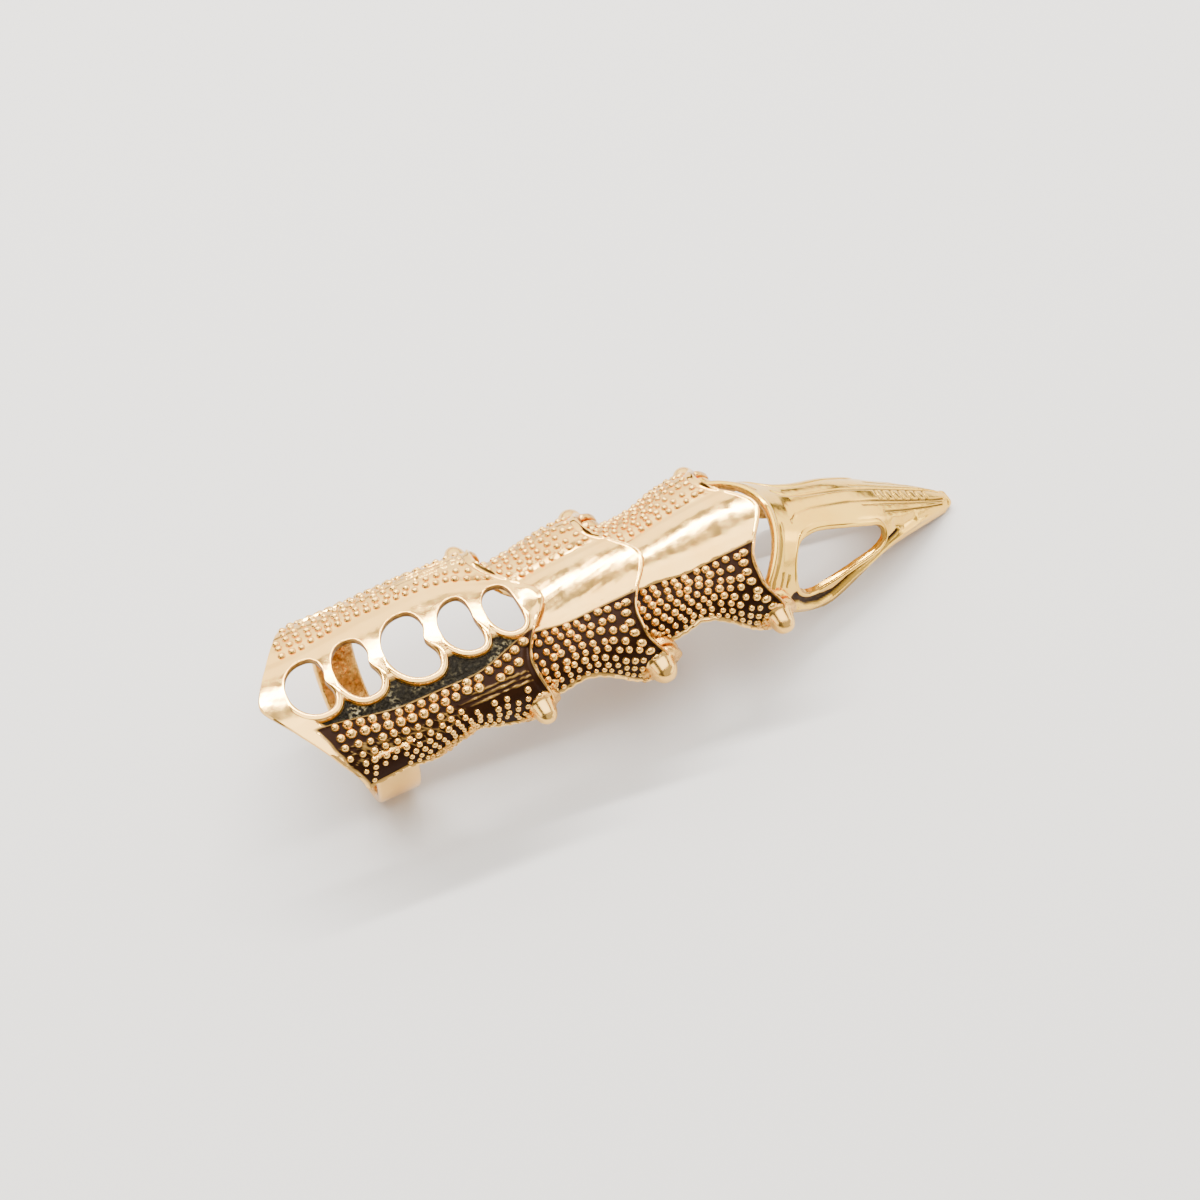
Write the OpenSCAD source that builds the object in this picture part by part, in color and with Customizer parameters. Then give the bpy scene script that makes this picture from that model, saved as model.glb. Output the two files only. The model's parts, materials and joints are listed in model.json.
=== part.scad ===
/* [Ring] */
// Thickness of the cast metal
wall = 0.9; // [0.8:0.05:1]
// Height of the spine above the surface that the ring rests on
spine_z = 17.9; // [17.6:0.1:18.4]
// Running gap between the ears of one segment and the next
gap = 0.3; // [0.2:0.05:0.4]

/* [Hinges] */
// Height of the hinge between the base and the second plate
hinge_a_z = 12.8; // [12.4:0.1:13]
// Distance from the first hinge to the second, along the finger
pitch_1 = 15.8; // [15:0.1:16.5]
// Height of the hinge between the two middle plates
hinge_b_z = 10.7; // [10.2:0.1:11]
// Distance from the second hinge to the third, along the finger
pitch_2 = 15.6; // [15:0.1:16.5]
// Height of the hinge that carries the claw
hinge_c_z = 10.0; // [9.6:0.1:10.3]
// Outer face of the outer ears, from the middle plane
ear_y = 11.5; // [11.3:0.1:11.7]
// Thickness of an ear
ear_t = 1.1; // [0.9:0.1:1.2]
// Diameter of the outer ears
outer_ear_d = 4.2; // [3.8:0.1:4.4]
// Diameter of the inner ears under the base plate
inner_ear_a_d = 3.2; // [2.8:0.1:3.2]
// Diameter of the other inner ears
inner_ear_d = 4.2; // [3.6:0.1:4.2]

/* [Rivets] */
// Diameter of the shanks
pin_d = 1.3; // [1.1:0.1:1.4]
// Diameter of the bores in the ears, a running fit on the shanks
bore_d = 1.42; // [1.42:0.02:1.5]
// Diameter of the domed heads
head_d = 3.7; // [3.5:0.1:4.1]
// Height of the domed heads
head_h = 2.3; // [1.4:0.1:2.4]
// Straight part of a head, under its dome
head_wall = 0.5; // [0.2:0.1:0.8]
// Diameter of the closed ends inside the ring
tail_d = 2.0; // [1.8:0.1:2.1]
// Thickness of the closed ends
tail_t = 0.45; // [0.3:0.05:0.6]
// Clearance round the closed ends
tail_gap = 0.25; // [0.15:0.05:0.3]

/* [Base plate] */
// How far the pointed end reaches behind the first hinge
base_back = 29.5; // [28.5:0.1:30]
// How far the tongue reaches past the first hinge
base_tongue = 5.4; // [5:0.1:5.6]
// Half of the width at the back
base_half = 12.0; // [11.8:0.1:12.4]
// Length of the pointed end for each unit of its half width
point_slope = 0.62; // [0.5:0.01:0.65]
// Width of the raised rim round each opening
rim_w = 0.85; // [0.6:0.05:1]
// Height of the raised rims
rim_h = 0.25; // [0.2:0.05:0.4]

/* [Finger loop] */
// Half of the loop's outer width
loop_half = 10.4; // [10.2:0.1:10.6]
// Thickness of the band
loop_t = 1.15; // [1:0.05:1.4]
// Width of the band along the finger
loop_w = 5.3; // [4.5:0.1:6]
// Middle of the band behind the first hinge
loop_x = 17.9; // [17:0.1:19]

/* [Middle plates] */
// How far each tongue reaches past its hinge
plate_tongue = 2.6; // [2.2:0.1:2.8]
// Half width of the smooth middle band
band_half = 4.2; // [3.8:0.1:4.6]

/* [Claw] */
// Angle by which the claw hangs down from the plates
claw_drop = 29; // [28:0.5:30]
// Length from the last hinge to the tip
claw_len = 32.8; // [31.5:0.1:33]
// Radius of the blunt tip
tip_r = 0.8; // [0.6:0.1:1]

/* [Beads] */
// Height of the cast beads
bead_h = 0.35; // [0.2:0.05:0.5]
// Rows of beads on each flank
bead_rows = 7; // [5:1:7]

/* [Hidden] */
$fn = 48;

rose_gold = [0.86, 0.62, 0.47];
hinge_b_x = pitch_1;
hinge_c_x = pitch_1 + pitch_2;
inner_y = ear_y - ear_t - gap;
// the tip rests on the surface
tip_z = (tip_r - hinge_c_z + (claw_len - tip_r) * sin(claw_drop)) / cos(claw_drop);
// the ring's middle, from the first hinge, so that it stands over the origin
tip_x = hinge_c_x + (claw_len - tip_r) * cos(claw_drop) + tip_z * sin(claw_drop) + tip_r;
middle_x = (tip_x - base_back) / 2;

// openings in the base plate: place of the widest part, reach backward, reach forward, half width, dent
openings = [
    [-23.2, 3.0, 2.0, 3.7, 0.45],
    [-17.9, 2.5, 2.15, 4.0, 0.55],
    [-10.9, 3.5, 2.2, 4.55, 0.8],
    [-4.6, 2.85, 1.5, 3.8, 0.2],
    [0.3, 2.1, 1.9, 3.35, 0]];
// lower edge of the base plate: place along the finger, height
base_edge = [[-22.5, 13.2], [-17, 12.9], [-13.6, 12.2], [-10.7, 13.3], [-8, 14], [-5, 12.4], [-2, 11.2],
    [1, 10.4]];
// lower edge of a middle plate: place from its first hinge, height
plate_edge = [[-1, 11.1], [1.8, 11.5], [3.6, 11.8], [5.6, 12.7], [7.3, 12.7], [9, 12.0], [10.3, 11.0],
    [11.8, 9.7], [13.4, 8.6]];
// claw, in its own frame: place from its hinge, half width, ridge height, lower edge height, power
claw_table = [
    [-3, 10.1, 7.6, -0.9, 1.8],
    [0, 10.1, 7.5, -1.4, 1.8],
    [4, 9.5, 7.2, -2.2, 2.05],
    [8, 8.8, 7.8, -2.9, 2.2],
    [12, 8.0, 8.4, -3, 2.45],
    [14, 7.5, 8.55, -1.6, 2.45],
    [16, 6.9, 8.6, 1.4, 2.35],
    [18, 6.1, 8.6, 3.2, 2.2],
    [21, 5.05, 8.5, 4.5, 2.1],
    [24, 4.15, 8.4, 5.3, 2.1],
    [27, 3.25, 8.35, 5.9, 2.2],
    [30, 2.25, 8.2, 6.2, 2.3],
    [33, 1.2, 7.9, 6.35, 2.4]];
// window in each side of the claw: place from its hinge, height
window = [[4.5, 6.1], [6.3, 6.6], [8.8, 6.95], [12.2, 7.3], [17, 7.45], [18.1, 6.95], [18.3, 6], [17.7, 5],
    [14.4, 3.4], [12.6, 2.4], [10.3, 1.4], [7.8, 0.4], [6.1, 0.3], [4.4, 0.9], [3.2, 2.3], [2.8, 3.7],
    [2.9, 5], [3.4, 5.7]];

// smooth rise from 0 to 1 while x goes from a to b
function ease(x, a, b) = let (u = min(max((x - a) / (b - a), 0), 1)) u * u * (3 - 2 * u);
function mix(a, b, u) = a + (b - a) * u;
function column(table, k) = [for (row = table) [row[0], row[k]]];

// An arch is half a superellipse, [half width, top, level of its centre, power, level of its
// lower edge, half width of the band in its middle]. A place on it is given by v: 0 on the
// spine, 1 at the band's border, 2 at the lower edge, and negative on the other side.
function polar(angle, w, h, m) =
    let (r = 1 / pow(pow(abs(sin(angle)) / w, m) + pow(abs(cos(angle)) / h, m), 1 / m))
    [r * sin(angle), r * cos(angle)];
function band_angle(half, w, h, m) = atan2(half, h * pow(1 - pow(half / w, m), 1 / m));
function edge_angle(e, w, h, m) = atan2(w * pow(1 - pow(min(e / h, 0.95), m), 1 / m), e);
function arch(v, p, inset) =
    let (w = p[0] - inset, h = p[1] - p[2] - inset, m = p[3],
        band = band_angle(p[5] * w / p[0], w, h, m),
        edge = edge_angle(p[4] - p[2], w, h, m),
        q = polar(abs(v) < 1 ? abs(v) * band : mix(band, edge, abs(v) - 1), w, h, m))
    [sign(v) * q[0], p[2] + q[1]];
// direction straight out of the arch at v
function outward(v, p) =
    let (q = arch(v, p, 0), w = p[0], h = p[1] - p[2], m = p[3],
        gy = pow(abs(q[0]) / w, m - 1) / w * sign(q[0]),
        gz = pow((q[1] - p[2]) / h, m - 1) / h)
    [gy, gz] / norm([gy, gz]);

// lines across an arch: a plain rim, two lines for each row of beads, and the smooth band
function bead_lines() = [for (k = [0 : 2 * bead_rows]) 1.04 + 0.86 * k / (2 * bead_rows)];
function cross_lines() = let (f = bead_lines(), n = len(f))
    concat([-2], [for (k = [n - 1 : -1 : 0]) -f[k]], [-0.75, -0.4, 0, 0.4, 0.75], f, [2]);
// a bead sits on every second line each way, staggered from row to row
function is_bead(i, j, first, last) =
    let (n = 2 * bead_rows + 1, k = j <= n ? n - j : j - n - 6)
    i > first && i < last && k > 0 && k < n - 1 && k % 2 == 1 && (i - first + (k - 1) / 2) % 2 == 1;

// A shell between two end curves: back(y) and front(y) give its ends, profile(x) its arch and
// inset(x) its thickness. raised(i, j) says where a bead stands. The lining takes every
// fourth lengthwise line and every second cross line.
module shell(lines, vs, raised, back, front, profile, inset) {
    ni = len(lines) - 1;
    nj = len(vs) - 1;
    di = 4;
    dj = 2;
    function place(i, j, lining) =
        let (x0 = mix(back(0), front(0), lines[i]),
            y = abs(arch(vs[j], profile(x0), 0)[0]),
            x = mix(back(y), front(y), lines[i]),
            p = profile(x),
            q = arch(vs[j], p, lining ? inset(x) : 0),
            lift = !lining && raised(i, j) ? bead_h * outward(vs[j], p) : [0, 0])
        [x, q[0] + lift[0], q[1] + lift[1]];
    half = (ni + 1) * (nj + 1);
    function a(i, j) = i * (nj + 1) + j;
    function b(i, j) = half + i / di * (nj / dj + 1) + j / dj;
    skin = [for (i = [0 : ni - 1], j = [0 : nj - 1]) each [
        [a(i, j), a(i, j + 1), a(i + 1, j + 1)], [a(i, j), a(i + 1, j + 1), a(i + 1, j)]]];
    lining = [for (i = [0 : di : ni - 1], j = [0 : dj : nj - 1]) each [
        [b(i, j), b(i + di, j + dj), b(i, j + dj)], [b(i, j), b(i + di, j), b(i + di, j + dj)]]];
    ends = [for (j = [0 : dj : nj - 1]) each concat(
        [[a(0, j), b(0, j), b(0, j + dj)], [a(ni, j), b(ni, j + dj), b(ni, j)]],
        [for (k = [j : j + dj - 1]) each [
            [a(0, k), b(0, j + dj), a(0, k + 1)], [a(ni, k), a(ni, k + 1), b(ni, j + dj)]]])];
    sides = [for (i = [0 : di : ni - 1]) each concat(
        [[a(i, 0), b(i + di, 0), b(i, 0)], [a(i, nj), b(i, nj), b(i + di, nj)]],
        [for (k = [i : i + di - 1]) each [
            [a(k, 0), a(k + 1, 0), b(i + di, 0)], [a(k, nj), b(i + di, nj), a(k + 1, nj)]]])];
    points = concat([for (i = [0 : ni], j = [0 : nj]) place(i, j, false)],
        [for (i = [0 : di : ni], j = [0 : dj : nj]) place(i, j, true)]);
    polyhedron(points = points, faces = concat(skin, lining, ends, sides), convexity = 8);
}

// front edge with a rounded tongue in the middle, set back by depth at the flanks
function soft(y) = sqrt(y * y + 0.5) - sqrt(0.5);
function tongue(y, reach, depth) = reach - depth * pow(sin(90 * min(soft(y) / soft(7.6), 1)), 1.35);
// lengthwise lines: a plain stretch at the back, the beads, and a plain rim in front
function long_lines(plain, count, rim) = concat([for (k = [0 : 3]) plain * k / 4],
    [for (k = [0 : count]) mix(plain, 1 - rim, k / count)], [1 - rim / 2, 1]);

module disc(x, y, z, thick, d) {
    translate([x, y, z]) rotate([90, 0, 0]) cylinder(d = d, h = thick, center = true);
}
// a pair of ears with their outer faces at y and minus y
module ears(x, z, y, d) {
    for (side = [-1, 1]) disc(x, side * (y - ear_t / 2), z, ear_t, d);
}
module bore(x, z) {
    disc(x, 0, z, 2 * ear_y + 4, bore_d);
}
// flat seats for the rivets' heads on the outer ears, and for their closed ends in the inner ears
module head_seats(x, z) {
    for (side = [-1, 1]) disc(x, side * (ear_y + head_h / 2), z, head_h, head_d + 0.1);
}
module tail_seats(x, z) {
    depth = 3 * ear_t;
    for (side = [-1, 1]) disc(x, side * (inner_y - ear_t - depth / 2), z, depth, tail_d + 2 * tail_gap);
}
// bean-shaped outline of an opening, wider by extra, with its dent in front
function bean(h, extra) = [for (k = [0 : 47])
    let (f = 7.5 * k, y = sin(f) * h[3],
        ahead = h[2] * pow(1 - min(pow(abs(sin(f)), 3), 1), 1 / 3) - h[4] * exp(-pow(y / (0.3 * h[3]), 2)),
        x = cos(f) < 0 ? h[1] * cos(f) : ahead)
    [h[0] + x + extra * cos(f), y + extra * sin(f)]];
module prism(outline) {
    translate([0, 0, hinge_a_z]) linear_extrude(8) polygon(outline);
}

// Finger loop: a flat band, round below and straight above, that stands on its flattened foot
module loop() {
    rise = 8.7;
    reach = 15.5;
    function bow(w, d) = [for (k = [0 : 32]) let (f = 90 - 180 * k / 32, q = polar(f, w, d, 2.5))
        [q[0], max(rise - q[1], 0)]];
    lower = bow(loop_half, rise + 0.25);
    upper = bow(loop_half - loop_t, rise - loop_t);
    n = len(upper);
    outline = concat([[loop_half, reach]], lower, [[-loop_half, reach], [loop_t - loop_half, reach]],
        [for (k = [n - 1 : -1 : 0]) upper[k]], [[loop_half - loop_t, reach]]);
    translate([-loop_x - loop_w / 2, 0, 0]) rotate([90, 0, 90]) linear_extrude(loop_w) polygon(outline);
}

module base() {
    function back(y) = -base_back + point_slope * (sqrt(y * y + 1) - 1);
    function front(y) = tongue(y, base_tongue, 4.9);
    function profile(x) = [
        mix(base_half, ear_y, ease(x, -20, -3)),
        spine_z - 0.5 * ease(x, -4, 5),
        9.5,
        mix(3.1, 4.8, ease(x, -20, -2)),
        lookup(x, base_edge),
        5.2 + 1.5 * ease(x, -25, -14) - 3.1 * ease(x, -7, 4)];
    function above(x) = [profile(x)[0] + rim_h, profile(x)[1] + rim_h, 9.5, profile(x)[3], 14, 5];
    color(rose_gold) difference() {
        union() {
            shell(long_lines(0.06, 38, 0.03), cross_lines(), function (i, j) is_bead(i, j, 4, 42),
                function (y) back(y), function (y) front(y), function (x) profile(x), function (x) wall);
            ears(0, hinge_a_z, ear_y, outer_ear_d);
            loop();
            intersection() {
                for (h = openings) prism(bean(h, rim_w));
                shell([for (k = [0 : 16]) k / 16], [for (k = [-8 : 8]) k / 4], function (i, j) false,
                    function (y) -base_back + 1, function (y) base_tongue - 1.6, function (x) above(x),
                    function (x) 0.8);
            }
        }
        bore(0, hinge_a_z);
        head_seats(0, hinge_a_z);
        for (h = openings) prism(bean(h, 0.12));
    }
}

// One middle plate between two hinges; top0 and top1 are its heights at the back and in front.
// Its back end is cut out in an arc by reach and depth, then runs out to its ears. power0 and
// power1 say how square its arch is at each end.
module plate(x0, z0, x1, z1, top0, top1, ear_d, reach, depth, power0, power1) {
    function back(y) = x0 + tongue(y, reach, depth) - max(reach - depth + 1, 0) * ease(abs(y), 7, 9.5);
    function front(y) = x1 + tongue(y, plate_tongue, 4.1);
    function profile(x) = [
        mix(inner_y, ear_y, ease(x, x0 + 2.6, x0 + 12)),
        mix(top0, top1, ease(x, x0 + 1, x1 + plate_tongue)),
        z1 - 2.6,
        mix(power0, power1, ease(x, x0 + 3, x1)),
        lookup(x - x0, plate_edge),
        mix(band_half - 0.7, band_half, ease(x, x0 + 2, x0 + 7))];
    color(rose_gold) difference() {
        union() {
            shell(long_lines(0.2, 22, 0.05), cross_lines(), function (i, j) is_bead(i, j, 4, 26),
                function (y) back(y), function (y) front(y), function (x) profile(x), function (x) wall);
            ears(x0, z0, inner_y, ear_d);
            ears(x1, z1, ear_y, outer_ear_d);
        }
        bore(x0, z0);
        bore(x1, z1);
        tail_seats(x0, z0);
        head_seats(x1, z1);
    }
}
module plate_2() {
    plate(0, hinge_a_z, hinge_b_x, hinge_b_z, spine_z - 1.9, spine_z - 0.7, inner_ear_a_d, 3.5, 3, 4.3, 4);
}
module plate_3() {
    plate(hinge_b_x, hinge_b_z, hinge_c_x, hinge_c_z, spine_z - 2.2, spine_z - 0.6, inner_ear_d, 1.3, 4.1,
        2.8, 3.5);
}

// The claw in its own frame: the hinge at the origin, the ridge level, the tip in front
module claw() {
    length = claw_len - tip_r;
    function back(y) = -0.1 - 1.9 * pow(min(abs(y) / 8.5, 1), 2.2);
    function profile(x) =
        let (w = lookup(x, column(claw_table, 1)), edge = lookup(x, column(claw_table, 3)))
        [w, lookup(x, column(claw_table, 2)), edge - mix(1, 0.2, ease(x, 12, 22)),
            lookup(x, column(claw_table, 4)), edge, 0.28 * w];
    color(rose_gold) translate([hinge_c_x, 0, hinge_c_z]) rotate([0, claw_drop, 0]) difference() {
        union() {
            shell([for (k = [0 : 24]) k / 24], [for (k = [-8 : 8]) k / 4], function (i, j) false,
                function (y) back(y), function (y) length, function (x) profile(x),
                function (x) mix(wall, 0.4, ease(x, 22, 31)));
            ears(0, 0, inner_y, inner_ear_d);
            disc(length, 0, tip_z, 1.1, 2 * tip_r);
            for (side = [-1, 1]) translate([length, side * 0.55, tip_z]) sphere(tip_r);
        }
        bore(0, 0);
        tail_seats(0, 0);
        rotate([90, 0, 0]) linear_extrude(3 * ear_y, center = true) polygon(window);
    }
}

// Rivet with a domed head outside, a shank through both ears and a closed end inside
module rivet(x, z, side) {
    dome_h = head_h - head_wall;
    dome_r = (pow(head_d / 2, 2) + pow(dome_h, 2)) / (2 * dome_h);
    inside = inner_y - ear_t - 0.12;
    color(rose_gold) translate([x, 0, z]) rotate([-side * 90, 0, 0]) {
        translate([0, 0, ear_y]) cylinder(d = head_d, h = head_wall);
        intersection() {
            translate([0, 0, ear_y + head_h - dome_r]) sphere(dome_r);
            translate([0, 0, ear_y + head_wall]) cylinder(d = head_d, h = head_h);
        }
        translate([0, 0, inside - tail_t / 2]) cylinder(d = pin_d, h = ear_y - inside + tail_t);
        translate([0, 0, inside - tail_t]) cylinder(d = tail_d, h = tail_t);
    }
}
module rivet_a_near() rivet(0, hinge_a_z, -1);
module rivet_a_far() rivet(0, hinge_a_z, 1);
module rivet_b_near() rivet(hinge_b_x, hinge_b_z, -1);
module rivet_b_far() rivet(hinge_b_x, hinge_b_z, 1);
module rivet_c_near() rivet(hinge_c_x, hinge_c_z, -1);
module rivet_c_far() rivet(hinge_c_x, hinge_c_z, 1);

translate([-middle_x, 0, 0]) {
    base();
    plate_2();
    plate_3();
    claw();
    rivet_a_near();
    rivet_a_far();
    rivet_b_near();
    rivet_b_far();
    rivet_c_near();
    rivet_c_far();
}
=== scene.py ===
# A claw ring in polished rose gold, resting on its finger loop and on the tip of its claw.
# Lengths are in millimetres from the first hinge, turned into metres when a mesh is made.
import json
import math

import bpy
import numpy as np
from mathutils import Matrix, Vector


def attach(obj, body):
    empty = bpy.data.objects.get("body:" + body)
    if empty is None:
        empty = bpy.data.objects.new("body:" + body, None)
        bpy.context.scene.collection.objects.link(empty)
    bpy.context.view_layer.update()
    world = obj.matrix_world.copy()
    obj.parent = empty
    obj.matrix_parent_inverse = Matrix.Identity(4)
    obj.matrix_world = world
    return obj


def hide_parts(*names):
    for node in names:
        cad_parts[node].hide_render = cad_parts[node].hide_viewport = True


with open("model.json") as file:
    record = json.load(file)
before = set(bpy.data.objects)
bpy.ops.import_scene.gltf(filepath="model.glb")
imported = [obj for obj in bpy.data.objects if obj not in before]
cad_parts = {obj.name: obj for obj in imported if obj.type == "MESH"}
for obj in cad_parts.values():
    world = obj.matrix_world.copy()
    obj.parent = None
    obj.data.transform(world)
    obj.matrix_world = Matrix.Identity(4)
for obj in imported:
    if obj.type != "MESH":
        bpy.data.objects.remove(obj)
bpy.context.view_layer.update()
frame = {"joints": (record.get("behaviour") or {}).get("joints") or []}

MM = 0.001
rng = np.random.default_rng(7)

# hinges, from the frame: each is (place along the finger, height), with the first one at 0
joint_at = {j["name"]: np.array(j["pos_m"]) / MM for j in frame["joints"]}
ORIGIN_X = joint_at["hinge_a"][0]
HINGE_A, HINGE_B, HINGE_C = [(joint_at[name][0] - ORIGIN_X, joint_at[name][2])
                             for name in ("hinge_a", "hinge_b", "hinge_c")]

# driving sizes of the ring
WALL = 0.9
SPINE_Z = 17.9
BASE_BACK = 29.5
BASE_TONGUE = 5.4
BASE_TONGUE_DEPTH = 4.9
BASE_HALF = 12.0
POINT_SLOPE = 0.62
PLATE_TONGUE = 2.6
PLATE_TONGUE_DEPTH = 4.1
BAND_HALF = 4.2
CROWN = 0.3
BEAD_R = 0.5
# ears: outer faces of the outer and inner ones, thickness, skin over the outer ones, radii, bore
EAR_Y = 11.5
INNER_Y = 10.1
EAR_T = 1.1
EAR_SKIN = 0.25
OUTER_EAR_R = 2.1
INNER_EAR_R = 2.1
INNER_EAR_A_R = 1.6
BORE_R = 0.71
# claw: angle below level, length to the middle of its tip, the tip's radius and half its straight part
CLAW_DROP = math.radians(29)
CLAW_LENGTH = 32.0
TIP_R = 0.8
TIP_HALF = 0.55
# finger loop: outer half width, thickness, width of its band, place, height of its widest part, upper end,
# and how much of its bow the flat foot takes away
LOOP_HALF = 10.4
LOOP_WALL = 1.15
LOOP_WIDTH = 5.3
LOOP_X = -17.9
LOOP_RISE = 8.7
LOOP_TOP = 15.5
FOOT_CUT = 0.25

# heads of each hinge's rivets: shift forward, radius, power of their outline
RIVET_HEADS = {"a": (-0.33, 1.5, 2.0), "b": (-0.8, 1.8, 2.05), "c": (-0.4, 1.65, 2.0)}
# openings in the base plate: place of the widest part, reach backward, reach forward, half width, dent
OPENINGS = [
    (-23.2, 3, 2, 3.7, 0.45), (-17.9, 2.5, 2.15, 4, 0.55), (-10.9, 3.5, 2.2, 4.55, 0.8),
    (-4.6, 2.85, 1.5, 3.8, 0.2), (0.3, 2.1, 1.9, 3.35, 0)]
# section of an opening's rim: reach outward near and far, height above the plate near and far, painted shade
# on the wall inside the opening
RIM_SECTION = [
    (0.98, 0.3, -0.45, -0.1, 0), (0.92, 0.27, -0.3, -0.03, 0), (0.86, 0.24, -0.1, 0, 0),
    (0.78, 0.2, 0.01, 0, 0), (0.64, 0.17, 0.055, 0, 0), (0.46, 0.14, 0.075, 0, 0),
    (0.3, 0.11, 0.07, -0.002, 0), (0.18, 0.07, 0.035, -0.01, 0), (0.09, 0.03, -0.03, -0.03, 0),
    (0.03, 0.01, -0.12, -0.07, 0.2), (0, 0, -0.25, -0.15, 0.7), (0, 0, -0.6, -0.6, 1),
    (0.02, 0.02, -0.9, -0.9, 1), (0.12, 0.12, -1, -1, 1), (0.5, 0.4, -0.9, -0.9, 1)]
# lower edge of the base plate: place along the finger, height
BASE_EDGE = [(-22.5, 12.3), (-17, 12.9), (-13.6, 12.2), (-10.7, 13.3), (-8, 14), (-5, 12.4), (-2, 11.2),
             (1, 10.4)]
# lower edge of a middle plate: place from its first hinge, height
PLATE_EDGE = [(-1, 11.1), (1.8, 11.5), (3.6, 11.8), (5.6, 12.7), (7.3, 12.7), (9, 12), (10.3, 11),
              (11.8, 9.7), (13.4, 8.6)]
# thin ridges along the base plate's sides: distances from the middle
RIDGES = (8.7, 9.25, 9.8)
# rows of beads: place across the arch, size
BASE_NEAR_ROWS = [(1.075, 1.15), (1.22, 1.2), (1.37, 1), (1.5, 0.86), (1.62, 0.8), (1.72, 0.72),
                  (1.81, 0.66), (1.9, 0.62)]
BASE_FAR_ROWS = [(v, 1) for v in (1.05, 1.17, 1.29, 1.41, 1.53, 1.65, 1.77, 1.89)]
PLATE_NEAR_ROWS = [(1.08, 1), (1.2, 1.04), (1.32, 1.04), (1.44, 1), (1.555, 0.96), (1.67, 0.9),
                   (1.775, 0.82), (1.875, 0.7)]
PLATE_FAR_ROWS = [(v, 1) for v in np.linspace(1.07, 1.88, 8)]
# patches of rough grains at the lower edges: from and to u, from and to v
BASE_GRAINS = [(0.36, 0.5, -1.97, -1.86), (0.52, 0.62, -1.97, -1.84), (0.84, 0.94, -1.96, -1.84)]
PLATE_GRAINS = [(0.02, 0.22, -1.98, -1.72), (0.82, 0.93, -1.97, -1.82)]
# claw, in its own frame: place from its hinge, half width, ridge height, lower edge height, power
CLAW_TABLE = [
    (-3, 10.1, 7.6, -0.9, 1.8), (0, 10.1, 7.5, -1.4, 1.8), (4, 9.5, 7.2, -2.2, 2.05),
    (8, 8.8, 7.8, -2.9, 2.2), (12, 8, 8.4, -3, 2.45), (14, 7.5, 8.55, -1.6, 2.45),
    (16, 6.9, 8.6, 1.4, 2.35), (18, 6.1, 8.6, 3.2, 2.2), (21, 5.05, 8.5, 4.5, 2.1),
    (24, 4.15, 8.4, 5.3, 2.1), (27, 3.25, 8.35, 5.9, 2.2), (30, 2.25, 8.2, 6.2, 2.3),
    (33, 1.2, 7.9, 6.35, 2.4)]
# lines on each half of the claw's top: place from its hinge, distance from the middle
TOP_GROOVE = [(3.2, 2.6), (4.5, 1.5), (7, 1.05), (12, 1), (18, 1), (24, 0.95), (29, 0.8), (31, 0.55)]
SHOULDER_GROOVE = [(15, 1.7), (20, 1.55), (26, 1.35), (30.5, 1)]
STRIP = [(18.5, 2.6), (22, 2.35), (27, 1.9), (30.5, 1.35)]
# lines on each side of the claw: place from its hinge, height
RAIL = [(5.2, -1.5), (7.6, -1.95), (9.75, -1.8), (11.75, -1.3), (13, 0.1), (14.3, 1.65), (15.8, 2.8),
        (17.45, 4), (19.1, 5), (21.5, 6), (25, 6.8), (29, 7.2)]
CHANNEL = [(3.6, 0.3), (5, 0.2), (6.75, -0.6), (9.1, -0.8), (11.1, -0.3), (12.4, 0.9), (13.8, 2.3),
           (15.5, 3.5), (17.1, 4.6), (18.2, 5.5), (20.5, 6.5)]
RECESS = [(20.2, 7.2), (22, 7.05), (24, 7.3)]
SLITS = [[(0.3, 1.2), (0.5, 3.4)], [(1.4, 1.9), (1.55, 3.1)]]
# notches along the claw's ridge: places from its hinge
NOTCHES = (18.6, 20, 21.5, 23, 24.5, 26, 27.5)
# window in each side of the claw: place from its hinge, height
WINDOW = [(4.5, 6.1), (6.3, 6.6), (8.8, 6.95), (12.2, 7.3), (17, 7.45), (18.1, 6.95), (18.3, 6), (17.7, 5),
          (14.4, 3.4), (12.6, 2.4), (10.3, 1.4), (7.8, 0.4), (6.1, 0.3), (4.4, 0.9), (3.2, 2.3), (2.8, 3.7),
          (2.9, 5), (3.4, 5.7)]
# section of a window's rim: reach outward, height above the surface, painted shade on the wall inside the
# window
WINDOW_SECTION = [(0.5, -0.12, 0), (0.42, 0.03, 0), (0.28, 0.1, 0), (0.12, 0.11, 0), (0.02, 0.04, 0),
                  (-0.04, -0.12, 0.3), (-0.02, -0.45, 0.55), (0, -0.8, 0.6), (0.1, -1, 0.6), (0.4, -0.9, 0.6)]
# rivet up to its head: radius, distance from the middle
RIVET_SHANK = [(0, 8.43), (0.85, 8.43), (0.98, 8.5), (1, 8.6), (1, 8.88), (0.65, 8.88), (0.65, 11.15)]
# rivet head: share of its radius, distance from the middle
RIVET_HEAD = [(1.2, 11.15), (1.1, 11.3), (1.03, 11.5), (1, 11.75), (0.97, 12.05), (0.92, 12.4),
              (0.85, 12.75), (0.76, 13.05), (0.65, 13.3), (0.53, 13.49), (0.4, 13.63), (0.27, 13.72),
              (0.13, 13.78), (0, 13.8)]
# colours of the painted shade where the metal lies deep and on lower sides, of the painted shade and painted
# glints on the grains there, and of the rough lining
PAINTED_SHADE_BROWN = (0.020, 0.0065, 0.0018, 1)
GRAIN_PAINTED_SHADE = (0.007, 0.0055, 0.003, 1)
GRAIN_PAINTED_GLINT = (0.26, 0.22, 0.12, 1)
LINING_BRIGHT = (0.95, 0.52, 0.11, 1)
LINING_DULL = (0.32, 0.14, 0.03, 1)


# Shaping helpers

def ease(x, a, b):
    u = np.clip((np.asarray(x, float) - a) / (b - a), 0, 1)
    return u * u * (3 - 2 * u)


def mix(a, b, u):
    return a + (b - a) * u


def lookup(x, table, k=1):
    return np.interp(x, [row[0] for row in table], [row[k] for row in table])


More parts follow.
